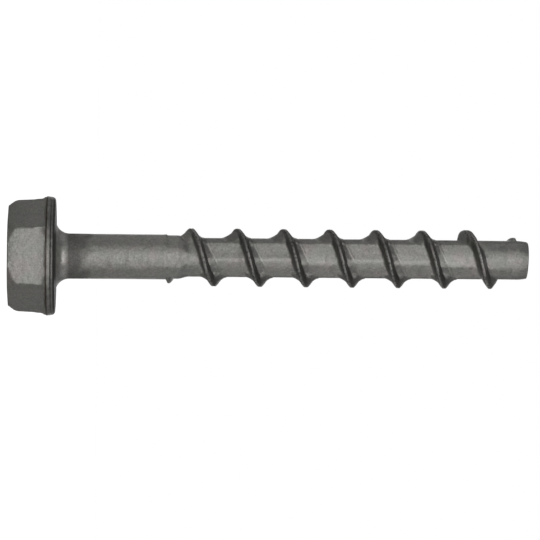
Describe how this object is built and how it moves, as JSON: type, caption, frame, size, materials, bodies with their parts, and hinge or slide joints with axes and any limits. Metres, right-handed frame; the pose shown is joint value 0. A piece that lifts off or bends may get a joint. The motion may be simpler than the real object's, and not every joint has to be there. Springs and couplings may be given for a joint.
{
  "type": "concrete screw",
  "caption": "Hex flange head screw with a plain shank and a coarse rolled thread with a cropped point, driven straight into a drilled hole in concrete.",
  "frame": {"origin": "centre of the flat end face of the head, which the screw stands on", "axes": "+Z along the screw towards its point, -Y square to one flat of the hexagon"},
  "size_m": [0.0154, 0.0154, 0.0675],
  "materials": {
    "galvanised_steel": "dull zinc coating on rolled steel, slightly mottled and finely speckled"
  },
  "bodies": {
    "root": {"concrete_screw": "galvanised_steel"}
  },
  "joints": []
}
